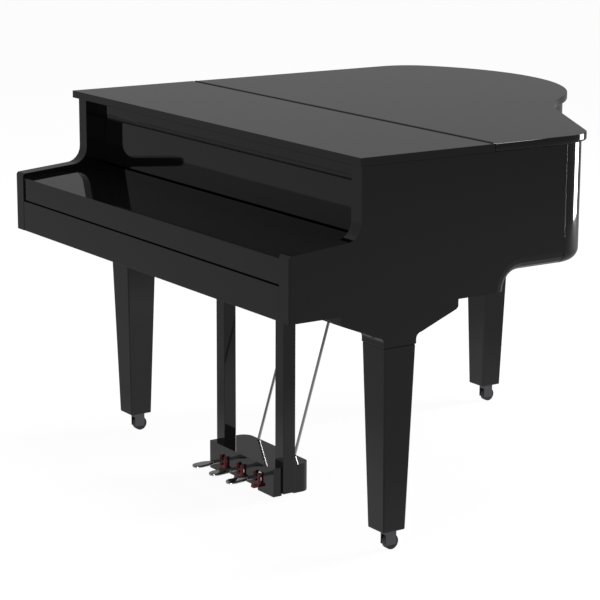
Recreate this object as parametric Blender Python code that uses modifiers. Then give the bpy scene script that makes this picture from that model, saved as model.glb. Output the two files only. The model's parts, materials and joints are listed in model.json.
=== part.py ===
# Digital grand piano with its lid and key cover closed, as an assembly of separate pieces.
# Metres, +Z up. The keyboard faces -Y and the origin is on the floor, under the middle.
import math

import bmesh
import bpy
from mathutils import Matrix, Vector

# Clearances
GAP = 0.0003
RUN = 0.0005

MERGE = 0.00001
BEVEL_ANGLE = 40.0
CARCASS_EDGE = 0.0012
ROUND_SIDES = 32
ROD_SIDES = 12
WHEEL_SIDES = 32

# Lid: one outline in plan, split along a fold into a front flap and a main lid
LID_WIDTH = 1.42
LID_TOP = 1.016
LID_THICKNESS = 0.020
LID_OVERHANG = 0.0125
LID_REST_GAP = 0.003
FOLD_Y = 0.405
FOLD_HALF_GAP = 0.0025
CORNER_START_Y = 0.645
CORNER_RADIUS = 0.116
CORNER_TURN = 60.7
BENTSIDE_STRAIGHT = 0.350
BENTSIDE_RADIUS = 0.568
BENTSIDE_TURN = 25.7
TAIL_RADIUS = 0.572
TAIL_TURN = 90.8
ARC_STEP = 7.0

# Case
WALL = 0.042
SKIRT_BOTTOM = 0.637
STEP_START_Y = 0.430
STEP_RISE = 0.047
EDGE_FILLET = 0.033
FILLET_STEPS = 4
STEP_STEPS = 6
ARM_FRONT_Y = -0.192
ARM_FRONT_TOP = 0.800
ARM_NOSE_RADIUS = 0.006
CHEEK_FRONT_Y = 0.013
CHEEK_CURVE_BOTTOM = 0.813
CHEEK_CURVE_RADIUS = 0.045
ARM_CORNER_WIDTH = 0.006

# Boards inside the case
BOARD_THICKNESS = 0.018
BOARD_LAP = 0.070
DECK_DROP = 0.099
DECK_THICKNESS = 0.012
DECK_FRONT_Y = 0.105

# Front of the case
SLIP_FRONT_Y = -0.1915
SLIP_THICKNESS = 0.022
SLIP_TOP = 0.7215
NAMEBOARD_Y = 0.072
NAMEBOARD_THICKNESS = 0.016
NAMEBOARD_BOTTOM = 0.811
RAIL_Y = 0.047
RAIL_HEIGHT = 0.026
RAIL_DROP = 0.013
CLOTH_HEIGHT = 0.020
CLOTH_THICKNESS = 0.005
CLOTH_MARGIN = 0.009

# Key cover
COVER_FRONT_Y = -0.188
COVER_FRONT_TOP = 0.787
COVER_BACK_Y = 0.066
COVER_BACK_TOP = 0.808
COVER_THICKNESS = 0.014
LIP_BOTTOM = 0.724
LIP_THICKNESS = 0.016
COVER_RAIL_WIDTH = 0.015
COVER_RAIL_HEIGHT = 0.012
COVER_RAIL_FRONT_Y = 0.008
COVER_RAIL_BACK_Y = 0.250

# Keys
WHITE_KEYS = 52
WHITE_PITCH = 0.0236
KEY_SPACE = 0.001
KEY_FRONT_Y = -0.164
KEY_BACK_Y = 0.115
KEY_TOP = 0.7157
KEY_HEIGHT = 0.020
KEY_PIVOT_Y = 0.105
BLACK_FRONT_Y = -0.116
BLACK_SHOULDER_Y = -0.004
BLACK_NOSE = 0.003
BLACK_WIDTH = 0.0100
BLACK_RISE = 0.0118
BLACK_OFFSET = 0.0035
KEY_RAIL_WIDTH = 0.010
BLACK_BACK_Y = 0.110
BAR_Y = 0.078
BAR_DEPTH = 0.008
BAR_HEIGHT = 0.004
BAR_DROP = 0.002
BAR_LAP = 0.002

# Controls in the key blocks
BLOCK_BACK_Y = 0.045
CONTROL_Y = -0.060
CONTROL_RISE = 0.0018
POWER_BUTTON_RADIUS = 0.007
VOLUME_DIAL_RADIUS = 0.012
CONTROL_DEPTH = 0.012
POWER_TRAVEL = 0.0015

# Music desk
DESK_WIDTH = 0.620
DESK_DEPTH = 0.215
DESK_THICKNESS = 0.012
DESK_DROP = 0.041
DESK_FRONT_Y = 0.112
DESK_BLOCK_DEPTH = 0.014
DESK_BLOCK_X = 0.240

# Legs and their brackets
LEG_X = 0.630
LEG_FRONT_Y = 0.148
LEG_REAR_X = -0.315
LEG_REAR_Y = 1.2185
LEG_TOP = 0.535
LEG_BOTTOM = 0.056
LEG_TOP_WIDTH = 0.094
LEG_BOTTOM_WIDTH = 0.067
LEG_EDGE_RADIUS = 0.003
BRACKET_HALF_LENGTH = 0.178
BRACKET_NECK = 0.049
BRACKET_END_HEIGHT = 0.031
BRACKET_SHOULDER_Z = 0.563
BRACKET_SHOULDER_Y = 0.064
BRACKET_CURVE = 0.016
BRACKET_CHAMFER = 0.006

# Casters
WHEEL_RADIUS = 0.020
WHEEL_WIDTH = 0.015
CASTER_TRAIL = 0.012
FORK_THICKNESS = 0.003
FORK_WIDTH = 0.026
HUB_RADIUS = 0.006

# Lyre
POST_X = 0.148
POST_WIDTH = 0.041
POST_FRONT_Y = 0.145
POST_DEPTH = 0.038
POST_BOTTOM = 0.017
PEDAL_BOX_HALF_WIDTH = 0.161
PEDAL_BOX_FRONT_Y = 0.118
PEDAL_BOX_BACK_Y = 0.240
PEDAL_BOX_TOP = 0.091
PEDAL_BOX_BOTTOM = 0.012
PEDAL_BOX_CORNER = 0.030
PEDAL_BOX_WALL = 0.012
FRONT_CUT_HEIGHT = 0.009
FRONT_CUT_HALF_WIDTH = 0.084
CAVITY_HALF_WIDTH = 0.120
SLOT_BOTTOM = 0.036
SLOT_TOP = 0.066
SLOT_WIDTH = 0.030
ROD_X = 0.090
ROD_RADIUS = 0.004
ROD_FOOT_Y = 0.233
ROD_HEAD_Y = 0.400

# Pedals
PEDAL_PITCH = 0.086
PEDAL_TIP_Y = 0.018
PEDAL_BACK_Y = 0.213
PEDAL_WIDTH = 0.018
PEDAL_TIP_WIDTH = 0.040
PEDAL_TIP_LENGTH = 0.058
PEDAL_BOTTOM = 0.0475
PEDAL_THICKNESS = 0.009
PEDAL_PIVOT_Y = 0.205
PEDAL_PIVOT_RADIUS = 0.004
FELT_REACH = 0.008
FELT_CLEARANCE = 0.001
COLLAR_WIDTH = 0.004

# Lid hardware
HINGE_RADIUS = 0.0052
HINGE_LENGTH = 0.200
HINGE_START_Y = 0.560
FOLD_KNUCKLE_RADIUS = 0.0022
FOLD_KNUCKLE_RISE = 0.0004
FOLD_MARGIN = 0.012
PROP_SIZE = (0.018, 0.520, 0.014)
PROP_LOW = (-0.550, 0.430)

# Sound and electronics
SPEAKER_PLACES = (("left", -0.420, 0.640, 0.070), ("right", 0.400, 0.640, 0.070))
SPEAKER_DEPTH = 0.060
SPEAKER_TAPER = 0.6
ELECTRONICS_LOW = (-0.230, 0.480)
ELECTRONICS_SIZE = (0.360, 0.220, 0.070)
INLET_LOW = (-0.450, 0.640)
INLET_SIZE = (0.060, 0.036, 0.026)

# Derived places
LID_BOTTOM = LID_TOP - LID_THICKNESS
CASE_TOP = LID_BOTTOM - LID_REST_GAP
DECK_TOP = LID_TOP - DECK_DROP
DESK_BOTTOM = LID_BOTTOM - DESK_DROP
RAIL_TOP = LID_BOTTOM - RAIL_DROP
RAIL_BOTTOM = RAIL_TOP - RAIL_HEIGHT
NAMEBOARD_TOP = RAIL_BOTTOM - CLOTH_HEIGHT
CASE_HALF_WIDTH = LID_WIDTH / 2 - LID_OVERHANG
INNER_X = CASE_HALF_WIDTH - WALL
RAISED_BOTTOM = SKIRT_BOTTOM + STEP_RISE
STEP_END_Y = STEP_START_Y + EDGE_FILLET + STEP_RISE
SHELF_Y = STEP_START_Y
SHELF_TOP = RAISED_BOTTOM + 0.006
KEYBED_TOP = RAISED_BOTTOM - 0.004
BED_FRONT_Y = SLIP_FRONT_Y + SLIP_THICKNESS + GAP
FIT_X = INNER_X - GAP
KEY_BOTTOM = KEY_TOP - KEY_HEIGHT
KEYS_HALF_WIDTH = WHITE_KEYS * WHITE_PITCH / 2
COVER_SLOPE = (COVER_BACK_TOP - COVER_FRONT_TOP) / (COVER_BACK_Y - COVER_FRONT_Y)
HINGE_X = -CASE_HALF_WIDTH - HINGE_RADIUS - GAP
HINGE_Z = LID_BOTTOM - HINGE_RADIUS - GAP
FOLD_Z = LID_TOP + FOLD_KNUCKLE_RISE

BLACK_OFFSETS = {"C": -1, "D": 1, "F": -1, "G": 0, "A": 1}
WHITE_NOTES = ("A", "B", "C", "D", "E", "F", "G")

# Materials: base colour, roughness, metallic
BLACK_LACQUER = ("black_lacquer", (0.010, 0.010, 0.011, 1.0), 0.06, 0.0)
BLACK_SATIN = ("black_satin", (0.018, 0.018, 0.019, 1.0), 0.45, 0.0)
CHROME = ("chrome", (0.80, 0.80, 0.82, 1.0), 0.10, 1.0)
STEEL = ("steel", (0.42, 0.42, 0.44, 1.0), 0.30, 1.0)
BRASS = ("brass", (0.70, 0.55, 0.28, 1.0), 0.25, 1.0)
WHITE_KEY = ("white_key", (0.86, 0.85, 0.80, 1.0), 0.25, 0.0)
BLACK_KEY = ("black_key", (0.015, 0.015, 0.016, 1.0), 0.35, 0.0)
RED_FELT = ("red_felt", (0.32, 0.010, 0.016, 1.0), 0.95, 0.0)
CLOTH = ("speaker_cloth", (0.020, 0.020, 0.021, 1.0), 0.90, 0.0)
RUBBER = ("rubber", (0.020, 0.020, 0.020, 1.0), 0.70, 0.0)


def clear_scene():
    for item in list(bpy.data.objects):
        bpy.data.objects.remove(item, do_unlink=True)


def new_collection(name):
    collection = bpy.data.collections.new(name)
    bpy.context.scene.collection.children.link(collection)
    return collection


def material(spec):
    name, color, roughness, metallic = spec
    if name in bpy.data.materials:
        return bpy.data.materials[name]
    made = bpy.data.materials.new(name)
    made.use_nodes = True
    shader = made.node_tree.nodes["Principled BSDF"]
    shader.inputs["Base Color"].default_value = color
    shader.inputs["Roughness"].default_value = roughness
    shader.inputs["Metallic"].default_value = metallic
    return made


def solid(bm, name, spec, bevel=0.0, segments=2):
    bmesh.ops.recalc_face_normals(bm, faces=bm.faces)
    mesh = bpy.data.meshes.new(name)
    bm.to_mesh(mesh)
    bm.free()
    made = bpy.data.objects.new(name, mesh)
    made.data.materials.append(material(spec))
    PARTS.objects.link(made)
    if bevel:
        edges = made.modifiers.new("edges", "BEVEL")
        edges.width = bevel
        edges.segments = segments
        edges.limit_method = "ANGLE"
        edges.angle_limit = math.radians(BEVEL_ANGLE)
    return made


def add_box(bm, low, high):
    made = bmesh.ops.create_cube(bm, size=1.0)
    size = Vector(high) - Vector(low)
    middle = (Vector(high) + Vector(low)) / 2
    bmesh.ops.scale(bm, vec=size, verts=made["verts"])
    bmesh.ops.translate(bm, vec=middle, verts=made["verts"])


def box(name, low, high, spec, bevel=0.0):
    bm = bmesh.new()
    add_box(bm, low, high)
    return solid(bm, name, spec, bevel)


def add_bar(bm, start, end, radius, sides=ROUND_SIDES, end_radius=None):
    along = Vector(end) - Vector(start)
    turn = along.to_track_quat("Z", "Y").to_matrix().to_4x4()
    spin = Matrix.Rotation(math.pi / sides, 4, "Z")
    place = Matrix.Translation((Vector(start) + Vector(end)) / 2) @ turn @ spin
    far = radius if end_radius is None else end_radius
    bmesh.ops.create_cone(
        bm, cap_ends=True, segments=sides, radius1=radius, radius2=far,
        depth=along.length, matrix=place)


def add_plate(bm, outline, low, high, axis="Z"):
    curve = bpy.data.curves.new("outline", "CURVE")
    curve.dimensions = "2D"
    curve.fill_mode = "BOTH"
    curve.extrude = (high - low) / 2
    spline = curve.splines.new("POLY")
    spline.points.add(len(outline) - 1)
    for point, (u, v) in zip(spline.points, outline):
        point.co = (u, v, 0.0, 1.0)
    spline.use_cyclic_u = True
    holder = bpy.data.objects.new("outline", curve)
    mesh = bpy.data.meshes.new_from_object(holder)
    plate = bmesh.new()
    plate.from_mesh(mesh)
    bmesh.ops.remove_doubles(plate, verts=plate.verts, dist=MERGE)
    turn = Matrix.Identity(4)
    if axis == "X":
        turn = Matrix(((0, 0, 1, 0), (1, 0, 0, 0), (0, 1, 0, 0), (0, 0, 0, 1)))
    if axis == "Y":
        turn = Matrix(((1, 0, 0, 0), (0, 0, 1, 0), (0, 1, 0, 0), (0, 0, 0, 1)))
    shift = Matrix.Translation((0, 0, (low + high) / 2))
    bmesh.ops.transform(plate, matrix=turn @ shift, verts=plate.verts)
    bmesh.ops.recalc_face_normals(plate, faces=plate.faces)
    plate.to_mesh(mesh)
    plate.free()
    bm.from_mesh(mesh)
    bpy.data.objects.remove(holder, do_unlink=True)
    bpy.data.meshes.remove(mesh)
    bpy.data.curves.remove(curve)


def plate(name, outline, low, high, spec, axis="Z", bevel=0.0):
    bm = bmesh.new()
    add_plate(bm, outline, low, high, axis)
    return solid(bm, name, spec, bevel)


def add_loft(bm, rings):
    rows = []
    for ring in rings:
        rows.append([bm.verts.new(point) for point in ring])
    count = len(rows[0])
    for first, second in zip(rows, rows[1:]):
        for i in range(count):
            j = (i + 1) % count
            bm.faces.new((first[i], first[j], second[j], second[i]))
    bm.faces.new(rows[0])
    bm.faces.new(rows[-1][::-1])


def arc_points(center, radius, start, end, steps):
    points = []
    for i in range(steps + 1):
        angle = math.radians(start + (end - start) * i / steps)
        points.append((center[0] + radius * math.cos(angle), center[1] + radius * math.sin(angle)))
    return points


def case_path(offset):
    """Plan of the lid moved inwards by offset, from the right corner round to the left side."""
    place = [LID_WIDTH / 2 - offset, CORNER_START_Y]
    heading = 90.0
    points = [tuple(place)]
    after_bend = CORNER_TURN + 90.0 - BENTSIDE_TURN
    tail_end = after_bend + TAIL_TURN
    turns = (
        (CORNER_RADIUS - offset, CORNER_TURN),
        (-(BENTSIDE_RADIUS + offset), -BENTSIDE_TURN),
        (TAIL_RADIUS - offset, TAIL_TURN),
        (0.0, 270.0 - tail_end),
    )
    for index, (radius, turn) in enumerate(turns):
        if index == len(turns) - 1:
            radius = (place[0] + LID_WIDTH / 2 - offset) / (1 + math.sin(math.radians(heading)))
        steps = max(1, round(abs(turn) / ARC_STEP))
        start = heading
        origin = tuple(place)
        for i in range(1, steps + 1):
            heading = start + turn * i / steps
            across = math.sin(math.radians(heading)) - math.sin(math.radians(start))
            along = math.cos(math.radians(start)) - math.cos(math.radians(heading))
            place = [origin[0] + radius * across, origin[1] + radius * along]
            points.append(tuple(place))
        if index == 0:
            place[0] += BENTSIDE_STRAIGHT * math.cos(math.radians(heading))
            place[1] += BENTSIDE_STRAIGHT * math.sin(math.radians(heading))
            points.append(tuple(place))
    points.append((-LID_WIDTH / 2 + offset, CORNER_START_Y))
    return points


def plan_from(offset, front_y):
    side = LID_WIDTH / 2 - offset
    return [(side, front_y)] + case_path(offset) + [(-side, front_y)]


def side_layer(extra):
    """Side outline in Y and Z, with the raised part of its underside moved up by extra."""
    cheek = (CHEEK_FRONT_Y - CHEEK_CURVE_RADIUS, CHEEK_CURVE_BOTTOM + CHEEK_CURVE_RADIUS)
    step = (STEP_END_Y, SKIRT_BOTTOM)
    points = [(CORNER_START_Y, CASE_TOP), (CHEEK_FRONT_Y, CASE_TOP)]
    points += arc_points(cheek, CHEEK_CURVE_RADIUS, 0, -90, STEP_STEPS)
    points += [(ARM_FRONT_Y + ARM_NOSE_RADIUS, ARM_FRONT_TOP)]
    points += [(ARM_FRONT_Y, ARM_FRONT_TOP - ARM_NOSE_RADIUS), (ARM_FRONT_Y, SKIRT_BOTTOM)]
    points += arc_points(step, STEP_RISE + extra, 180, 90, STEP_STEPS)
    points += [(CORNER_START_Y, RAISED_BOTTOM + extra)]
    return points


def fillet_stops():
    stops = []
    for i in range(FILLET_STEPS + 1):
        angle = math.pi / 2 * i / FILLET_STEPS
        stops.append((EDGE_FILLET * (1 - math.sin(angle)), EDGE_FILLET * (1 - math.cos(angle))))
    return stops


def side_board(name, side):
    layers = [(INNER_X, 0.0)]
    for inset, extra in fillet_stops():
        layers.append((CASE_HALF_WIDTH - inset, extra))
    bm = bmesh.new()
    rings = []
    for x, extra in layers:
        rings.append([(side * x, y, z) for y, z in side_layer(extra)])
    add_loft(bm, rings)
    edge = [
        item for item in bm.edges
        if all(abs(abs(v.co.x) - CASE_HALF_WIDTH) < MERGE for v in item.verts)
        and all(abs(v.co.y - ARM_FRONT_Y) < MERGE for v in item.verts)]
    bmesh.ops.bevel(
        bm, geom=edge, offset=ARM_CORNER_WIDTH, segments=FILLET_STEPS, affect="EDGES", profile=0.5)
    return solid(bm, name, BLACK_LACQUER)


def rear_rim():
    section = [(WALL, CASE_TOP), (WALL, RAISED_BOTTOM)]
    for inset, extra in fillet_stops():
        section.append((inset, RAISED_BOTTOM + extra))
    section.append((0.0, CASE_TOP))
    lines = []
    for inset, z in section:
        line = [(x, y, z) for x, y in case_path(LID_OVERHANG + inset)]
        line[0] = (line[0][0], CORNER_START_Y + GAP, z)
        line[-1] = (line[-1][0], CORNER_START_Y + GAP, z)
        lines.append(line)
    bm = bmesh.new()
    add_loft(bm, list(zip(*lines)))
    return solid(bm, "rear_rim", BLACK_LACQUER)


def build_case():
    side_board("side_board_right", 1)
    side_board("side_board_left", -1)
    rear_rim()
    step = (STEP_END_Y, SKIRT_BOTTOM)
    bed = [(BED_FRONT_Y, SKIRT_BOTTOM)] + arc_points(step, STEP_RISE, 180, 90, STEP_STEPS)
    bed += [(STEP_END_Y, SHELF_TOP), (SHELF_Y, SHELF_TOP)]
    bed += [(SHELF_Y, KEYBED_TOP), (BED_FRONT_Y, KEYBED_TOP)]
    plate("keybed", bed, -FIT_X, FIT_X, BLACK_SATIN, "X")
    inner = LID_OVERHANG + WALL + GAP
    plate("bottom_board", plan_from(inner, STEP_END_Y + GAP), RAISED_BOTTOM,
          RAISED_BOTTOM + BOARD_THICKNESS, BLACK_SATIN)
    plate("deck_board", plan_from(inner, DECK_FRONT_Y), DECK_TOP - DECK_THICKNESS, DECK_TOP, BLACK_SATIN)
    box("key_slip", (-FIT_X, SLIP_FRONT_Y, SKIRT_BOTTOM),
        (FIT_X, SLIP_FRONT_Y + SLIP_THICKNESS, SLIP_TOP), BLACK_LACQUER, CARCASS_EDGE)
    back = NAMEBOARD_Y + NAMEBOARD_THICKNESS
    box("nameboard", (-FIT_X, NAMEBOARD_Y, NAMEBOARD_BOTTOM), (FIT_X, back, NAMEBOARD_TOP),
        BLACK_LACQUER, CARCASS_EDGE)
    cloth_y = NAMEBOARD_Y + CLOTH_MARGIN
    box("speaker_cloth", (-FIT_X, cloth_y, NAMEBOARD_TOP + GAP),
        (FIT_X, cloth_y + CLOTH_THICKNESS, RAIL_BOTTOM - GAP), CLOTH)
    box("front_rail", (-FIT_X, RAIL_Y, RAIL_BOTTOM), (FIT_X, back, RAIL_TOP), BLACK_LACQUER, CARCASS_EDGE)


def build_cover():
    inside = COVER_FRONT_TOP - COVER_THICKNESS + COVER_SLOPE * LIP_THICKNESS
    outline = [
        (COVER_FRONT_Y, COVER_FRONT_TOP),
        (COVER_BACK_Y, COVER_BACK_TOP),
        (COVER_BACK_Y, COVER_BACK_TOP - COVER_THICKNESS),
        (COVER_FRONT_Y + LIP_THICKNESS, inside),
        (COVER_FRONT_Y + LIP_THICKNESS, LIP_BOTTOM),
        (COVER_FRONT_Y, LIP_BOTTOM),
    ]
    width = INNER_X - RUN
    plate("key_cover", outline, -width, width, BLACK_LACQUER, "X", CARCASS_EDGE)
    under = COVER_FRONT_TOP - COVER_THICKNESS - GAP - RUN
    front = under + COVER_SLOPE * (COVER_RAIL_FRONT_Y - COVER_FRONT_Y)
    rear = under + COVER_SLOPE * (COVER_RAIL_BACK_Y - COVER_FRONT_Y)
    rail = [
        (COVER_RAIL_FRONT_Y, front), (COVER_RAIL_BACK_Y, rear),
        (COVER_RAIL_BACK_Y, rear - COVER_RAIL_HEIGHT),
        (COVER_RAIL_FRONT_Y, front - COVER_RAIL_HEIGHT),
    ]
    plate("cover_rail_right", rail, FIT_X - COVER_RAIL_WIDTH, FIT_X, BLACK_SATIN, "X")
    plate("cover_rail_left", rail, -FIT_X, COVER_RAIL_WIDTH - FIT_X, BLACK_SATIN, "X")


def black_centers():
    """Middle of every black key, by the number of the white key to its left."""
    found = []
    for i in range(WHITE_KEYS - 1):
        note = WHITE_NOTES[i % len(WHITE_NOTES)]
        if note in BLACK_OFFSETS:
            x = (i + 1) * WHITE_PITCH - KEYS_HALF_WIDTH + BLACK_OFFSETS[note] * BLACK_OFFSET
            found.append((i, x))
    return found


def build_keys():
    sharps = dict(black_centers())
    whites = bmesh.new()
    blacks = bmesh.new()
    relief = BLACK_WIDTH / 2 + KEY_SPACE
    for i in range(WHITE_KEYS):
        left = i * WHITE_PITCH - KEYS_HALF_WIDTH + KEY_SPACE / 2
        right = left + WHITE_PITCH - KEY_SPACE
        inner_left = sharps[i - 1] + relief if i - 1 in sharps else left
        inner_right = sharps[i] - relief if i in sharps else right
        notch = BLACK_FRONT_Y - KEY_SPACE
        outline = [(left, KEY_FRONT_Y), (right, KEY_FRONT_Y)]
        if i in sharps:
            outline += [(right, notch), (inner_right, notch)]
        outline += [(inner_right, KEY_BACK_Y), (inner_left, KEY_BACK_Y)]
        if i - 1 in sharps:
            outline += [(inner_left, notch), (left, notch)]
        add_plate(whites, outline, KEY_BOTTOM, KEY_TOP)
    top = KEY_TOP + BLACK_RISE
    foot = KEY_BOTTOM - BAR_DROP - BAR_HEIGHT / 2
    for i, x in black_centers():
        outline = [
            (BLACK_FRONT_Y, KEY_BOTTOM), (BLACK_FRONT_Y, KEY_TOP), (BLACK_FRONT_Y + BLACK_NOSE, top),
            (BLACK_SHOULDER_Y, top), (BLACK_SHOULDER_Y, KEY_TOP), (BLACK_BACK_Y, KEY_TOP),
            (BLACK_BACK_Y, KEY_BOTTOM), (BAR_Y + BAR_DEPTH, KEY_BOTTOM), (BAR_Y + BAR_DEPTH, foot),
            (BAR_Y, foot), (BAR_Y, KEY_BOTTOM)]
        add_plate(blacks, outline, x - BLACK_WIDTH / 2, x + BLACK_WIDTH / 2, "X")
    reach = KEYS_HALF_WIDTH - WHITE_PITCH
    made = solid(whites, "keys_white", WHITE_KEY)
    bar = bmesh.new()
    add_box(bar, (KEY_SPACE - KEYS_HALF_WIDTH, KEY_BACK_Y - BAR_LAP, KEY_BOTTOM + BAR_LAP),
            (KEYS_HALF_WIDTH - KEY_SPACE, KEY_BACK_Y + BAR_DEPTH, KEY_TOP - BAR_LAP))
    combine(made, bar, "UNION")
    move_origin(made, (0.0, KEY_PIVOT_Y, KEY_BOTTOM))
    made = solid(blacks, "keys_black", BLACK_KEY)
    bar = bmesh.new()
    add_box(bar, (-reach, BAR_Y - BAR_LAP, foot - BAR_HEIGHT / 2),
            (reach, BAR_Y + BAR_DEPTH + BAR_LAP, foot + BAR_HEIGHT / 2))
    combine(made, bar, "UNION")
    move_origin(made, (0.0, KEY_PIVOT_Y, KEY_BOTTOM))
    rail_y = KEY_PIVOT_Y - KEY_RAIL_WIDTH / 2
    box("key_frame", (-KEYS_HALF_WIDTH, rail_y, KEYBED_TOP + GAP),
        (KEYS_HALF_WIDTH, rail_y + KEY_RAIL_WIDTH, KEY_BOTTOM - RUN), BLACK_SATIN)
    for name, side in (("key_block_right", 1), ("key_block_left", -1)):
        inner = KEYS_HALF_WIDTH + RUN
        bm = bmesh.new()
        middle = side * (inner + FIT_X) / 2
        half = (FIT_X - inner) / 2
        add_box(bm, (middle - half, BED_FRONT_Y, KEYBED_TOP + GAP), (middle + half, BLOCK_BACK_Y, KEY_TOP))
        block = solid(bm, name, BLACK_LACQUER)
        radius = VOLUME_DIAL_RADIUS if side < 0 else POWER_BUTTON_RADIUS
        floor = KEY_TOP - CONTROL_DEPTH
        cut = bmesh.new()
        add_bar(cut, (middle, CONTROL_Y, floor), (middle, CONTROL_Y, KEY_TOP + CONTROL_DEPTH), radius + RUN)
        combine(block, cut, "DIFFERENCE")
        bm = bmesh.new()
        sunk = POWER_TRAVEL if side > 0 else 0.0
        seat = (middle, CONTROL_Y, floor + sunk + RUN)
        add_bar(bm, seat, (middle, CONTROL_Y, KEY_TOP + CONTROL_RISE), radius)
        made = solid(bm, "volume_dial" if side < 0 else "power_button", BLACK_SATIN)
        move_origin(made, (middle, CONTROL_Y, KEY_TOP))


def combine(target, cut, operation):
    mesh = bpy.data.meshes.new("cutter")
    cut.to_mesh(mesh)
    cut.free()
    cutter = bpy.data.objects.new(target.name + "_cutter", mesh)
    CUTTERS.objects.link(cutter)
    cutter.hide_render = True
    cutter.display_type = "WIRE"
    modifier = target.modifiers.new("opening", "BOOLEAN")
    modifier.operation = operation
    modifier.solver = "EXACT"
    modifier.use_self = True
    modifier.object = cutter


def move_origin(made, point):
    made.data.transform(Matrix.Translation(-Vector(point)))
    made.location = made.location + Vector(point)


def build_desk():
    half = DESK_WIDTH / 2
    desk = box("music_desk", (-half, DESK_FRONT_Y, DESK_BOTTOM),
               (half, DESK_FRONT_Y + DESK_DEPTH, DESK_BOTTOM + DESK_THICKNESS), BLACK_LACQUER)
    move_origin(desk, (0.0, DESK_FRONT_Y, DESK_BOTTOM))
    box("desk_block", (-DESK_BLOCK_X, DESK_FRONT_Y, DECK_TOP + GAP),
        (DESK_BLOCK_X, DESK_FRONT_Y + DESK_BLOCK_DEPTH, DESK_BOTTOM - GAP), BLACK_SATIN)
    low = (PROP_LOW[0], PROP_LOW[1], DECK_TOP + GAP)
    box("lid_prop", low, tuple(Vector(low) + Vector(PROP_SIZE)), BLACK_LACQUER)


def build_inside():
    floor = RAISED_BOTTOM + BOARD_THICKNESS + GAP
    for name, x, y, radius in SPEAKER_PLACES:
        bm = bmesh.new()
        cone = radius * SPEAKER_TAPER
        add_bar(bm, (x, y, floor), (x, y, floor + SPEAKER_DEPTH), radius, ROUND_SIDES, cone)
        solid(bm, "speaker_" + name, BLACK_SATIN)
    low = Vector((ELECTRONICS_LOW[0], ELECTRONICS_LOW[1] + BOARD_LAP, floor))
    box("electronics_box", low, low + Vector(ELECTRONICS_SIZE), STEEL)
    high = RAISED_BOTTOM - GAP
    box("power_inlet", (INLET_LOW[0], INLET_LOW[1], high - INLET_SIZE[2]),
        (INLET_LOW[0] + INLET_SIZE[0], INLET_LOW[1] + INLET_SIZE[1], high), BLACK_SATIN)


def bracket_outline(middle, top):
    """Bracket outline with its wings along the first axis and height along the second."""
    right = [
        (BRACKET_HALF_LENGTH, top),
        (BRACKET_HALF_LENGTH, SKIRT_BOTTOM - BRACKET_END_HEIGHT + BRACKET_CHAMFER),
        (BRACKET_HALF_LENGTH - BRACKET_CHAMFER, SKIRT_BOTTOM - BRACKET_END_HEIGHT),
        (BRACKET_SHOULDER_Y, BRACKET_SHOULDER_Z)]
    center = (BRACKET_NECK + BRACKET_CURVE, BRACKET_SHOULDER_Z - BRACKET_CURVE)
    right += arc_points(center, BRACKET_CURVE, 100, 180, STEP_STEPS)
    right += [(BRACKET_NECK, LEG_TOP + GAP)]
    left = [(-u, v) for u, v in reversed(right)]
    return [(middle + u, v) for u, v in right + left]


def build_legs():
    half = LEG_TOP_WIDTH / 2
    outline = bracket_outline(LEG_FRONT_Y, SKIRT_BOTTOM - GAP)
    for name, x in (("left", -LEG_X), ("right", LEG_X)):
        plate("leg_bracket_" + name, outline, x - half, x + half, BLACK_LACQUER, "X", CARCASS_EDGE)
    plate("leg_bracket_rear", bracket_outline(LEG_REAR_X, RAISED_BOTTOM - GAP), LEG_REAR_Y - half,
          LEG_REAR_Y + half, BLACK_LACQUER, "Y", CARCASS_EDGE)
    places = (("front_left", -LEG_X, LEG_FRONT_Y), ("front_right", LEG_X, LEG_FRONT_Y),
              ("rear", LEG_REAR_X, LEG_REAR_Y))
    for name, x, y in places:
        bm = bmesh.new()
        rings = []
        for z, width in ((LEG_BOTTOM, LEG_BOTTOM_WIDTH), (LEG_TOP, LEG_TOP_WIDTH)):
            w = width / 2
            rings.append([(x - w, y - w, z), (x + w, y - w, z), (x + w, y + w, z), (x - w, y + w, z)])
        add_loft(bm, rings)
        solid(bm, "leg_" + name, BLACK_LACQUER, LEG_EDGE_RADIUS)
        build_caster(name, x, y, LEG_BOTTOM - GAP)


def build_caster(name, x, y, top):
    axle_z = WHEEL_RADIUS * math.cos(math.pi / WHEEL_SIDES)
    axle_y = y + CASTER_TRAIL
    crown = axle_z + WHEEL_RADIUS + RUN
    out = FORK_WIDTH / 2
    bm = bmesh.new()
    reach = WHEEL_RADIUS
    shape = [(-out, axle_z - HUB_RADIUS), (FORK_THICKNESS - out, axle_z - HUB_RADIUS),
             (FORK_THICKNESS - out, crown), (out - FORK_THICKNESS, crown),
             (out - FORK_THICKNESS, axle_z - HUB_RADIUS), (out, axle_z - HUB_RADIUS),
             (out, top), (-out, top)]
    shape = [(x + u, v) for u, v in shape]
    add_plate(bm, shape, axle_y - reach, axle_y + reach / 2, "Y")
    fork = solid(bm, "caster_fork_" + name, STEEL)
    move_origin(fork, (x, y, top))
    bm = bmesh.new()
    half = WHEEL_WIDTH / 2
    add_bar(bm, (x - half, axle_y, axle_z), (x + half, axle_y, axle_z), WHEEL_RADIUS, WHEEL_SIDES)
    wheel = solid(bm, "caster_wheel_" + name, RUBBER)
    move_origin(wheel, (x, axle_y, axle_z))


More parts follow.
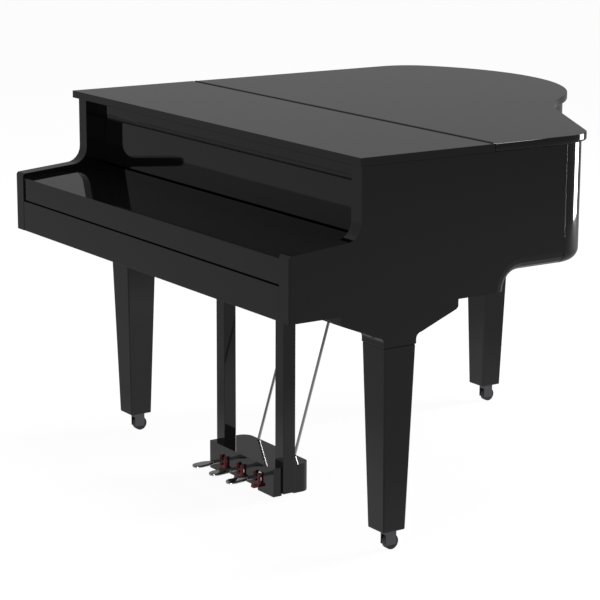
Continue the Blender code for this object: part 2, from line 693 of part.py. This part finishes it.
def build_lyre():
    for name, x in (("left", -POST_X), ("right", POST_X)):
        box("lyre_post_" + name, (x - POST_WIDTH / 2, POST_FRONT_Y, POST_BOTTOM),
            (x + POST_WIDTH / 2, POST_FRONT_Y + POST_DEPTH, SKIRT_BOTTOM - GAP), BLACK_LACQUER,
            LEG_EDGE_RADIUS / 2)
    inner = POST_X - POST_WIDTH / 2 - GAP
    side = PEDAL_BOX_HALF_WIDTH
    corner = (side - PEDAL_BOX_CORNER, PEDAL_BOX_BACK_Y - PEDAL_BOX_CORNER)
    right = [(side, PEDAL_BOX_FRONT_Y), (side, POST_FRONT_Y - GAP), (inner, POST_FRONT_Y - GAP)]
    right += [(inner, POST_FRONT_Y + POST_DEPTH + GAP), (side, POST_FRONT_Y + POST_DEPTH + GAP)]
    right += arc_points(corner, PEDAL_BOX_CORNER, 0, 90, STEP_STEPS)
    outline = right + [(-u, v) for u, v in reversed(right)]
    pedal_box = plate("pedal_box", outline, PEDAL_BOX_BOTTOM, PEDAL_BOX_TOP, BLACK_LACQUER)
    cut = bmesh.new()
    low = PEDAL_BOX_BOTTOM - PEDAL_BOX_WALL
    add_box(cut, (-CAVITY_HALF_WIDTH, PEDAL_BOX_FRONT_Y + PEDAL_BOX_WALL, low),
            (CAVITY_HALF_WIDTH, PEDAL_BOX_BACK_Y - PEDAL_BOX_WALL, PEDAL_BOX_TOP - PEDAL_BOX_WALL))
    front = PEDAL_BOX_FRONT_Y - PEDAL_BOX_WALL
    deep = PEDAL_BOX_FRONT_Y + PEDAL_BOX_WALL * 2
    for i in (-1, 0, 1):
        x = i * PEDAL_PITCH
        add_box(cut, (x - SLOT_WIDTH / 2, front, SLOT_BOTTOM), (x + SLOT_WIDTH / 2, deep, SLOT_TOP))
    add_box(cut, (-FRONT_CUT_HALF_WIDTH, front, low),
            (FRONT_CUT_HALF_WIDTH, deep, PEDAL_BOX_BOTTOM + FRONT_CUT_HEIGHT))
    combine(pedal_box, cut, "DIFFERENCE")
    bearing = PEDAL_PIVOT_RADIUS
    box("pedal_bearing", (GAP - CAVITY_HALF_WIDTH, PEDAL_PIVOT_Y - bearing, SLOT_BOTTOM),
        (CAVITY_HALF_WIDTH - GAP, PEDAL_PIVOT_Y + bearing, PEDAL_BOTTOM - RUN), STEEL)
    face = PEDAL_BOX_FRONT_Y - GAP
    for i, name in ((-1, "left"), (0, "middle"), (1, "right")):
        x = i * PEDAL_PITCH
        tip = (x, PEDAL_TIP_Y + PEDAL_TIP_WIDTH / 2)
        half = PEDAL_WIDTH / 2
        outline = arc_points(tip, PEDAL_TIP_WIDTH / 2, 180, 360, STEP_STEPS * 2)
        outline += [(x + half, PEDAL_TIP_Y + PEDAL_TIP_LENGTH), (x + half, PEDAL_BACK_Y)]
        outline += [(x - half, PEDAL_BACK_Y), (x - half, PEDAL_TIP_Y + PEDAL_TIP_LENGTH)]
        bm = bmesh.new()
        add_plate(bm, outline, PEDAL_BOTTOM, PEDAL_BOTTOM + PEDAL_THICKNESS)
        pedal = solid(bm, "pedal_" + name, CHROME, CARCASS_EDGE)
        move_origin(pedal, (x, PEDAL_PIVOT_Y, PEDAL_BOTTOM))
        wide = half + FELT_CLEARANCE
        near = face - FELT_REACH
        side = wide + COLLAR_WIDTH
        low = SLOT_BOTTOM + FELT_CLEARANCE
        high = SLOT_TOP - FELT_CLEARANCE
        outline = [(-side, low - COLLAR_WIDTH), (side, low - COLLAR_WIDTH), (side, high), (wide, high),
                   (wide, low), (-wide, low), (-wide, high), (-side, high)]
        plate("pedal_felt_" + name, [(x + u, v) for u, v in outline], near, face, RED_FELT, "Y")
    foot = Vector((0.0, ROD_FOOT_Y, PEDAL_BOX_TOP))
    head = Vector((0.0, ROD_HEAD_Y, SKIRT_BOTTOM))
    lean = (head - foot).normalized()
    trim = lean * ((ROD_RADIUS * lean.y + GAP) / lean.z)
    for name, x in (("left", -ROD_X), ("right", ROD_X)):
        shift = Vector((x, 0.0, 0.0))
        bm = bmesh.new()
        add_bar(bm, foot + trim + shift, head - trim + shift, ROD_RADIUS, ROD_SIDES)
        solid(bm, "lyre_rod_" + name, CHROME)


def build_lid():
    side = LID_WIDTH / 2
    fold = FOLD_HALF_GAP
    plate("lid_main", plan_from(0.0, FOLD_Y + fold), LID_BOTTOM, LID_TOP, BLACK_LACQUER)
    flap = box("lid_flap", (-side, 0.0, LID_BOTTOM), (side, FOLD_Y - fold, LID_TOP), BLACK_LACQUER)
    move_origin(flap, (0.0, FOLD_Y, FOLD_Z))
    next_start = HINGE_START_Y + HINGE_LENGTH
    for name, start in (("lid_hinge_lower", HINGE_START_Y), ("lid_hinge_upper", next_start)):
        bm = bmesh.new()
        add_bar(bm, (HINGE_X, start + GAP, HINGE_Z), (HINGE_X, start + HINGE_LENGTH - GAP, HINGE_Z),
                HINGE_RADIUS, ROD_SIDES)
        solid(bm, name, BRASS)
    for name, start in (("fold_hinge_rear", FOLD_MARGIN - side), ("fold_hinge_front", 0.0)):
        bm = bmesh.new()
        add_bar(bm, (start + GAP, FOLD_Y, FOLD_Z), (start + side - FOLD_MARGIN - GAP, FOLD_Y, FOLD_Z),
                FOLD_KNUCKLE_RADIUS, ROD_SIDES)
        made = solid(bm, name, STEEL)
    move_origin(made, (0.0, FOLD_Y, FOLD_Z))


def set_on_origin():
    """Move everything so that the origin is under the middle of the whole object."""
    middle = (ARM_FRONT_Y + tail_y()) / 2
    for made in list(PARTS.objects) + list(CUTTERS.objects):
        made.location.y -= middle


def tail_y():
    return max(y for x, y in case_path(0.0))


clear_scene()
PARTS = new_collection("digital_grand_piano")
CUTTERS = new_collection("cutters")
build_case()
build_cover()
build_keys()
build_desk()
build_inside()
build_legs()
build_lyre()
build_lid()
set_on_origin()
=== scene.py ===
import json
import math

import bmesh
import bpy
from mathutils import Matrix, Vector


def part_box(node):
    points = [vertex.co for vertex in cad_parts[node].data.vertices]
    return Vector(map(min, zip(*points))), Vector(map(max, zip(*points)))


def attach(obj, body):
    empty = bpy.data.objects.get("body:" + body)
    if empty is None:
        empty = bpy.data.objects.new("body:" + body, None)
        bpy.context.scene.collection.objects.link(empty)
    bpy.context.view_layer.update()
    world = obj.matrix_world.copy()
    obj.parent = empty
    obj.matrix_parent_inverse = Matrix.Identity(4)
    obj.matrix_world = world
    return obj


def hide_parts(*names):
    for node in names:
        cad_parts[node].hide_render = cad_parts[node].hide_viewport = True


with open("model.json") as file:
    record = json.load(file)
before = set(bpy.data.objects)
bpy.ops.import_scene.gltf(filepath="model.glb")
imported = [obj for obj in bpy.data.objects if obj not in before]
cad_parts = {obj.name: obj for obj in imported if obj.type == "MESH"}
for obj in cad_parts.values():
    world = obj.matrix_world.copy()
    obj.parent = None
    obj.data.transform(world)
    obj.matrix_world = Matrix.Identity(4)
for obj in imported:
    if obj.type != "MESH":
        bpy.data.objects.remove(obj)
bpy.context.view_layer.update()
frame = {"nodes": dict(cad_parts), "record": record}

# Places read from the frame. In this script y counts back from the lid's front edge.
FLAP_LOW, FLAP_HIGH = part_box("lid_flap")
RIM_LOW, RIM_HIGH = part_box("rear_rim")
MIDDLE = -FLAP_LOW[1]
LID_HALF = FLAP_HIGH[0]
LID_BOTTOM = FLAP_LOW[2]
LID_TOP = FLAP_HIGH[2]
OVERHANG = LID_HALF + RIM_LOW[0]
CASE_TOP = RIM_HIGH[2]
RAISED = RIM_LOW[2]
FOLD_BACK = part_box("lid_main")[0][1] + MIDDLE

# Case and lid: sizes in metres, turns in degrees
WALL = 0.042
FILLET = 0.033
FILLET_STEPS = 12
CORNER_Y = 0.645
CORNER_RADIUS = 0.116
CORNER_TURN = 60.7
BENTSIDE_STRAIGHT = 0.350
BENTSIDE_STEPS = 12
BENTSIDE_RADIUS = 0.568
BENTSIDE_TURN = 25.7
TAIL_RADIUS = 0.572
TAIL_TURN = 90.8
CURVE_STEP = 1.5
LID_ROUNDING = 0.0028
LID_ROUNDING_STEPS = 4

# Pedals
PEDAL_PITCH = 0.086
PEDAL_FRONT_Y = 0.0182
PEDAL_BACK_Y = 0.2125
PEDAL_LOW = 0.0479
PEDAL_HIGH = 0.0563
TIP_LENGTH = 0.040
TIP_HALF_LENGTH = 0.020
TIP_ROUND_LENGTH = 0.0203
TIP_HALF_WIDTH = 0.0198
TIP_NOSE = 0.0030
TIP_REAR_HALF_WIDTH = 0.0185
BLADE_HALF_WIDTH = 0.0088
BLADE_TAPER = 0.020
DROOP = 0.0026
DROOP_LENGTH = 0.050
DROOP_POWER = 1.5
NOSE_LENGTH = 0.004
NOSE_DROP = 0.0008
PEDAL_STATIONS = 28
PEDAL_SIDES = 20
PEDAL_SPACING = 1.6
PEDAL_SQUARENESS = 0.55
PEDAL_FLATNESS = 0.80
STOP_FELT_SIZE = (0.014, 0.019, 0.009)
STOP_FELT_Y = 0.108
STOP_FELT_Z = 0.0265
STOP_FELT_EDGE = 0.0015

# Stage and camera
FLOOR_HALF = 30
FLOOR_Z = -0.0005
CAMERA_PLACE = (4.7693, -2.9107, 1.8341)
CAMERA_AZIMUTH = 55.97
CAMERA_ELEVATION = 13.064
CAMERA_ROLL = 0.245
CAMERA_LENS = 129.73
CAMERA_SENSOR = 36.0
CAMERA_REACH = 200.0

# Brightness of the floor and the world, for the camera and for reflections, with the floor's painted
# glow, a pool of light brighter near the object; reaches in metres
WHITE = (1.0, 1.0, 1.0, 1.0)
FLOOR_COLOR = (0.9, 0.9, 0.9, 1.0)
GLOW_SHARE = 0.88
GLOW_SEEN = 1.08
GLOW_NEAR = 0.45
GLOW_FAR = 0.20
GLOW_NEAR_REACH = 0.55
GLOW_FAR_REACH = 1.25
WORLD_SEEN = 1.0
WORLD_REFLECTED = 0.20

# Lights: name, place, target, width and height, and power in watts
LIGHTS = (
    ("overhead", (0.2, 0.3, 4.4), (0, 0, 0.6), (2.2, 2.2), 120),
    ("edge_strip", (2.24, -3.9, 0.52), (0.7, -0.7, 0.6), (0.45, 0.9), 60),
    ("corner_strip", (1.0, 5.0, 1.4), (0.4, 0.3, 0.8), (1.7, 3.0), 300),
)

# Lacquer and felt
LACQUER_COLOR = (0.0035, 0.0035, 0.0040, 1.0)
LACQUER_IOR = 1.50
COAT_WEIGHT = 0.35
COAT_ROUGHNESS = 0.03
LACQUER_SMOOTHEST = 0.035
LACQUER_ROUGHEST = 0.075
CLOUD_SCALE = 3.0
WAVE_SCALE = 9.0
WAVE_STRENGTH = 0.04
WAVE_DEPTH = 0.0004
FIBRE_SCALE = 900.0
FIBRE_STRENGTH = 0.6
FIBRE_DEPTH = 0.0008
FELT_ROUGHNESS = 0.95
FELT_SHEEN = 0.4


# Materials

def shader(name):
    made = bpy.data.materials.new(name)
    made.use_nodes = True
    tree = made.node_tree
    return made, tree, tree.nodes["Principled BSDF"]


def noise(tree, scale, detail=3.0):
    place = tree.nodes.new("ShaderNodeTexCoord")
    made = tree.nodes.new("ShaderNodeTexNoise")
    made.inputs["Scale"].default_value = scale
    made.inputs["Detail"].default_value = detail
    tree.links.new(place.outputs["Object"], made.inputs["Vector"])
    return made


def spread(tree, source, low, high):
    made = tree.nodes.new("ShaderNodeMapRange")
    made.inputs["To Min"].default_value = low
    made.inputs["To Max"].default_value = high
    tree.links.new(source, made.inputs["Value"])
    return made.outputs["Result"]


def bump(tree, target, height, strength, distance):
    made = tree.nodes.new("ShaderNodeBump")
    made.inputs["Strength"].default_value = strength
    made.inputs["Distance"].default_value = distance
    tree.links.new(height, made.inputs["Height"])
    tree.links.new(made.outputs["Normal"], target.inputs["Normal"])


def lacquer():
    made, tree, look = shader("piano_lacquer")
    look.inputs["Base Color"].default_value = LACQUER_COLOR
    look.inputs["IOR"].default_value = LACQUER_IOR
    look.inputs["Coat Weight"].default_value = COAT_WEIGHT
    look.inputs["Coat Roughness"].default_value = COAT_ROUGHNESS
    cloud = noise(tree, CLOUD_SCALE)
    rough = spread(tree, cloud.outputs["Fac"], LACQUER_SMOOTHEST, LACQUER_ROUGHEST)
    tree.links.new(rough, look.inputs["Roughness"])
    wave = noise(tree, WAVE_SCALE, 1.0)
    bump(tree, look, wave.outputs["Fac"], WAVE_STRENGTH, WAVE_DEPTH)
    return made


def plain(name, color, low, high, metallic=0.0, scale=40.0, grain=0.05, depth=0.0002):
    made, tree, look = shader(name)
    look.inputs["Base Color"].default_value = (*color, 1.0)
    look.inputs["Metallic"].default_value = metallic
    cloud = noise(tree, scale)
    tree.links.new(spread(tree, cloud.outputs["Fac"], low, high), look.inputs["Roughness"])
    bump(tree, look, cloud.outputs["Fac"], grain, depth)
    return made


def felt(name, dark, bright):
    made, tree, look = shader(name)
    fibre = noise(tree, FIBRE_SCALE, 4.0)
    ramp = tree.nodes.new("ShaderNodeValToRGB")
    ramp.color_ramp.elements[0].color = (*dark, 1.0)
    ramp.color_ramp.elements[1].color = (*bright, 1.0)
    tree.links.new(fibre.outputs["Fac"], ramp.inputs["Fac"])
    tree.links.new(ramp.outputs["Color"], look.inputs["Base Color"])
    look.inputs["Roughness"].default_value = FELT_ROUGHNESS
    look.inputs["Sheen Weight"].default_value = FELT_SHEEN
    bump(tree, look, fibre.outputs["Fac"], FIBRE_STRENGTH, FIBRE_DEPTH)
    return made


LACQUER = lacquer()
SATIN = plain("satin_black", (0.012, 0.012, 0.013), 0.35, 0.55)
CHROME = plain("chrome", (0.72, 0.71, 0.70), 0.06, 0.14, 1.0, 25.0, 0.02)
DARK_METAL = plain("dark_metal", (0.16, 0.16, 0.17), 0.22, 0.34, 1.0, 60.0)
BRASS = plain("brass", (0.62, 0.47, 0.24), 0.18, 0.30, 1.0, 60.0)
TYRE = plain("wheel_black", (0.025, 0.025, 0.026), 0.30, 0.50)
IVORY = plain("ivory_key", (0.80, 0.79, 0.74), 0.18, 0.28, 0.0, 300.0, 0.03)
EBONY = plain("ebony_key", (0.014, 0.014, 0.015), 0.28, 0.42, 0.0, 300.0, 0.05)
RED = felt("red_felt", (0.05, 0.0005, 0.002), (0.20, 0.002, 0.005))
CLOTH = felt("speaker_weave", (0.004, 0.004, 0.004), (0.016, 0.016, 0.017))

# The finish of each material slot, and the width of each node's softened edges
BY_SLOT = {
    "lacquer": LACQUER, "satin_wood": SATIN, "chrome": CHROME, "steel": DARK_METAL, "brass": BRASS,
    "rubber": TYRE, "white_key": IVORY, "black_key": EBONY, "red_felt": RED, "cloth": CLOTH,
    "plastic": SATIN}
SLOTS = {item["node"]: item["material_slot"] for item in frame["record"]["subparts"]}
BEVELS = {
    "leg_": 0.0025, "leg_bracket": 0.0020, "lyre_post": 0.0015, "pedal_": 0.0012,
    "key_cover": 0.0022, "nameboard": 0.0010, "front_rail": 0.0014, "key_slip": 0.0018,
    "side_board": 0.0010, "keys_": 0.0006, "caster_": 0.0012, "music_desk": 0.0012,
    "lid_flap": 0.0026}
SOFT_ANGLE = 28.0
SOFT_SEGMENTS = 3


def soften(obj, width):
    for face in obj.data.polygons:
        face.use_smooth = True
    edges = obj.modifiers.new("soft_edges", "BEVEL")
    edges.width = width
    edges.segments = SOFT_SEGMENTS
    edges.limit_method = "ANGLE"
    edges.angle_limit = math.radians(SOFT_ANGLE)
    edges.harden_normals = True


def dress_nodes():
    for name, obj in frame["nodes"].items():
        obj.data.materials.clear()
        obj.data.materials.append(BY_SLOT[SLOTS[name]])
        width = 0.0
        for prefix, value in BEVELS.items():
            if name.startswith(prefix):
                width = value
        if width:
            soften(obj, width)


# Finer outline for the lid and the curved rim

def path(offset):
    """Plan of the lid moved inwards by offset, from the right corner round to the left side."""
    x = LID_HALF - offset
    y = CORNER_Y
    heading = 90.0
    points = [(x, y)]
    turns = (
        (CORNER_RADIUS - offset, CORNER_TURN),
        (-(BENTSIDE_RADIUS + offset), -BENTSIDE_TURN),
        (TAIL_RADIUS - offset, TAIL_TURN),
        (None, None),
    )
    for index, (radius, turn) in enumerate(turns):
        if radius is None:
            turn = 270.0 - heading
            radius = (x + LID_HALF - offset) / (1 + math.sin(math.radians(heading)))
        count = max(2, round(abs(turn) / CURVE_STEP))
        first = heading
        origin = (x, y)
        for i in range(1, count + 1):
            heading = first + turn * i / count
            across = math.sin(math.radians(heading)) - math.sin(math.radians(first))
            along = math.cos(math.radians(first)) - math.cos(math.radians(heading))
            x = origin[0] + radius * across
            y = origin[1] + radius * along
            points.append((x, y))
        if index == 0:
            for i in range(1, BENTSIDE_STEPS + 1):
                far = BENTSIDE_STRAIGHT * i / BENTSIDE_STEPS
                points.append((x + far * math.cos(math.radians(heading)),
                               y + far * math.sin(math.radians(heading))))
            x, y = points[-1]
    points.append((-LID_HALF + offset, CORNER_Y))
    return points


def loft(name, rings, spec):
    """A closed body through rings of points, with a face on each end."""
    bm = bmesh.new()
    rows = [[bm.verts.new((x, y - MIDDLE, z)) for x, y, z in ring] for ring in rings]
    count = len(rows[0])
    for first, second in zip(rows, rows[1:]):
        for i in range(count):
            j = (i + 1) % count
            bm.faces.new((first[i], first[j], second[j], second[i]))
    bm.faces.new(rows[0])
    bm.faces.new(rows[-1][::-1])
    bmesh.ops.recalc_face_normals(bm, faces=bm.faces)
    mesh = bpy.data.meshes.new(name)
    bm.to_mesh(mesh)
    bm.free()
    made = bpy.data.objects.new(name, mesh)
    bpy.context.scene.collection.objects.link(made)
    mesh.materials.append(spec)
    return made


def rim_section():
    points = [(WALL, CASE_TOP), (WALL, RAISED)]
    for i in range(FILLET_STEPS + 1):
        angle = math.pi / 2 * i / FILLET_STEPS
        points.append((FILLET * (1 - math.sin(angle)), RAISED + FILLET * (1 - math.cos(angle))))
    points.append((0.0, CASE_TOP))
    return points


def build_rim():
    lines = []
    for inset, z in rim_section():
        line = [(x, y, z) for x, y in path(OVERHANG + inset)]
        line[0] = (line[0][0], CORNER_Y, z)
        lines.append(line)
    rim = loft("rim_curved", list(zip(*lines)), LACQUER)
    for face in rim.data.polygons:
        face.use_smooth = True
    rim.modifiers.new("weights", "WEIGHTED_NORMAL")
    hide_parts("rear_rim")
    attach(rim, "case")


def smooth_sides(obj):
    for face in obj.data.polygons:
        face.use_smooth = len(face.vertices) == 4


def lid_profile():
    """Inset and height up the lid's rounded edge, from its underside to its top."""
    points = []
    for i in range(LID_ROUNDING_STEPS + 1):
        angle = math.pi / 2 * i / LID_ROUNDING_STEPS
        inset = LID_ROUNDING * (1 - math.sin(angle))
        points.append((inset, LID_BOTTOM + LID_ROUNDING * (1 - math.cos(angle))))
    for i in range(LID_ROUNDING_STEPS + 1):
        angle = math.pi / 2 * i / LID_ROUNDING_STEPS
        inset = LID_ROUNDING * (1 - math.cos(angle))
        points.append((inset, LID_TOP - LID_ROUNDING * (1 - math.sin(angle))))
    return points


def build_lid():
    rings = []
    for inset, z in lid_profile():
        front = FOLD_BACK + inset
        side = LID_HALF - inset
        outline = [(side, front)] + path(inset) + [(-side, front)]
        rings.append([(x, y, z) for x, y in outline])
    lid = loft("lid_rear", rings, LACQUER)
    smooth_sides(lid)
    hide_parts("lid_main")
    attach(lid, "lid")


# Pedals with rounded, drooping ends, and their stop felts

def pedal_half_width(along):
    if along < TIP_HALF_LENGTH:
        return max(tip_half_width(along), TIP_NOSE)
    if along < TIP_LENGTH:
        return max(tip_half_width(along), TIP_REAR_HALF_WIDTH)
    taper = min(1.0, (along - TIP_LENGTH) / BLADE_TAPER)
    return TIP_REAR_HALF_WIDTH + (BLADE_HALF_WIDTH - TIP_REAR_HALF_WIDTH) * taper


def tip_half_width(along):
    share = (along - TIP_HALF_LENGTH) / TIP_ROUND_LENGTH
    return TIP_HALF_WIDTH * math.sqrt(max(0.0, 1 - share ** 2))


def pedal_ring(x, y):
    along = y - PEDAL_FRONT_Y
    half = pedal_half_width(along)
    droop = DROOP * max(0.0, 1 - along / DROOP_LENGTH) ** DROOP_POWER
    high = PEDAL_HIGH - droop - NOSE_DROP * (along < NOSE_LENGTH)
    ring = []
    for k in range(PEDAL_SIDES):
        angle = 2 * math.pi * k / PEDAL_SIDES
        across = math.copysign(abs(math.cos(angle)) ** PEDAL_SQUARENESS, math.cos(angle))
        upward = math.copysign(abs(math.sin(angle)) ** PEDAL_FLATNESS, math.sin(angle))
        z = (PEDAL_LOW + high) / 2 + (high - PEDAL_LOW) / 2 * upward
        ring.append((x + half * across, y, z))
    return ring


def build_pedal(tag, body, x):
    rings = []
    for i in range(PEDAL_STATIONS + 1):
        share = (i / PEDAL_STATIONS) ** PEDAL_SPACING
        rings.append(pedal_ring(x, PEDAL_FRONT_Y + (PEDAL_BACK_Y - PEDAL_FRONT_Y) * share))
    pedal = loft("pedal_rounded_" + tag, rings, CHROME)
    smooth_sides(pedal)
    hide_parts("pedal_" + tag)
    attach(pedal, body)


def build_stop_felt(tag, x):
    mesh = bpy.data.meshes.new("stop_felt_" + tag)
    bm = bmesh.new()
    bmesh.ops.create_cube(bm, size=1.0)
    bmesh.ops.scale(bm, vec=STOP_FELT_SIZE, verts=bm.verts)
    bmesh.ops.translate(bm, vec=(x, STOP_FELT_Y - MIDDLE, STOP_FELT_Z), verts=bm.verts)
    bm.to_mesh(mesh)
    bm.free()
    stop = bpy.data.objects.new("stop_felt_" + tag, mesh)
    bpy.context.scene.collection.objects.link(stop)
    mesh.materials.append(RED)
    soften(stop, STOP_FELT_EDGE)
    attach(stop, "case")


# Stage, light and camera

def floor_material():
    """Pale floor with a painted glow: a pool of light that fades from bright by the object to dim,
    except where the camera sees it.
    """
    pale = bpy.data.materials.new("pale_floor_painted_glow")
    pale.use_nodes = True
    tree = pale.node_tree
    for node in list(tree.nodes):
        tree.nodes.remove(node)
    out = tree.nodes.new("ShaderNodeOutputMaterial")
    mix = tree.nodes.new("ShaderNodeMixShader")
    mix.inputs["Fac"].default_value = GLOW_SHARE
    matte = tree.nodes.new("ShaderNodeBsdfDiffuse")
    matte.inputs["Color"].default_value = FLOOR_COLOR
    glow = tree.nodes.new("ShaderNodeEmission")
    seen = tree.nodes.new("ShaderNodeLightPath")
    where = tree.nodes.new("ShaderNodeNewGeometry")
    reach = tree.nodes.new("ShaderNodeVectorMath")
    reach.operation = "LENGTH"
    tree.links.new(where.outputs["Position"], reach.inputs[0])
    # Painted glow: the floor's emission in reflections and light is brighter near the object, a
    # painted pool of light
    painted_pool = tree.nodes.new("ShaderNodeMapRange")
    painted_pool.interpolation_type = "SMOOTHSTEP"
    painted_pool.inputs["From Min"].default_value = GLOW_NEAR_REACH
    painted_pool.inputs["From Max"].default_value = GLOW_FAR_REACH
    painted_pool.inputs["To Min"].default_value = GLOW_NEAR
    painted_pool.inputs["To Max"].default_value = GLOW_FAR
    tree.links.new(reach.outputs["Value"], painted_pool.inputs["Value"])
    level = tree.nodes.new("ShaderNodeMix")
    level.inputs["B"].default_value = GLOW_SEEN
    tree.links.new(seen.outputs["Is Camera Ray"], level.inputs["Factor"])
    tree.links.new(painted_pool.outputs["Result"], level.inputs["A"])
    tree.links.new(level.outputs["Result"], glow.inputs["Strength"])
    tree.links.new(matte.outputs["BSDF"], mix.inputs[1])
    tree.links.new(glow.outputs["Emission"], mix.inputs[2])
    tree.links.new(mix.outputs["Shader"], out.inputs["Surface"])
    return pale


def build_floor():
    mesh = bpy.data.meshes.new("floor")
    corners = ((-1, -1), (1, -1), (1, 1), (-1, 1))
    places = [(x * FLOOR_HALF, y * FLOOR_HALF, FLOOR_Z) for x, y in corners]
    mesh.from_pydata(places, [], [(0, 1, 2, 3)])
    floor = bpy.data.objects.new("floor", mesh)
    bpy.context.scene.collection.objects.link(floor)
    mesh.materials.append(floor_material())


def build_world():
    """White where the camera sees it, and dim in reflections and as light."""
    world = bpy.data.worlds.new("studio")
    bpy.context.scene.world = world
    world.use_nodes = True
    tree = world.node_tree
    back = tree.nodes["Background"]
    seen = tree.nodes.new("ShaderNodeLightPath")
    level = tree.nodes.new("ShaderNodeMapRange")
    level.inputs["To Min"].default_value = WORLD_REFLECTED
    level.inputs["To Max"].default_value = WORLD_SEEN
    tree.links.new(seen.outputs["Is Camera Ray"], level.inputs["Value"])
    tree.links.new(level.outputs["Result"], back.inputs["Strength"])
    back.inputs["Color"].default_value = WHITE


def area(name, place, target, size, power):
    data = bpy.data.lights.new(name, "AREA")
    data.shape = "RECTANGLE"
    data.size = size[0]
    data.size_y = size[1]
    data.energy = power
    made = bpy.data.objects.new(name, data)
    bpy.context.scene.collection.objects.link(made)
    made.visible_camera = False
    made.location = place
    made.rotation_euler = (Vector(target) - Vector(place)).to_track_quat("-Z", "Y").to_euler()


def build_lights():
    for name, place, target, size, power in LIGHTS:
        area(name, place, target, size, power)


def build_camera():
    data = bpy.data.cameras.new("camera")
    camera = bpy.data.objects.new("camera", data)
    bpy.context.scene.collection.objects.link(camera)
    bpy.context.scene.camera = camera
    data.sensor_width = CAMERA_SENSOR
    data.lens = CAMERA_LENS
    data.dof.use_dof = False
    data.clip_end = CAMERA_REACH
    azimuth = math.radians(CAMERA_AZIMUTH)
    elevation = math.radians(CAMERA_ELEVATION)
    roll = math.radians(CAMERA_ROLL)
    level = Vector((math.sin(azimuth), -math.cos(azimuth), 0.0))
    back = level * math.cos(elevation) + Vector((0.0, 0.0, math.sin(elevation)))
    right = Vector((math.cos(azimuth), math.sin(azimuth), 0.0))
    up = back.cross(right)
    turned_right = right * math.cos(roll) + up * math.sin(roll)
    turned_up = up * math.cos(roll) - right * math.sin(roll)
    turn = Matrix((turned_right, turned_up, back)).transposed().to_4x4()
    place = Vector(CAMERA_PLACE) - Vector((0.0, MIDDLE, 0.0))
    camera.matrix_world = Matrix.Translation(place) @ turn


dress_nodes()
build_rim()
build_lid()
for tag, body, steps in (("left", "pedal_l", -1), ("middle", "pedal_m", 0), ("right", "pedal_r", 1)):
    build_pedal(tag, body, steps * PEDAL_PITCH)
    build_stop_felt(tag, steps * PEDAL_PITCH)
build_floor()
build_world()
build_lights()
build_camera()
bpy.context.scene.view_settings.view_transform = "Standard"
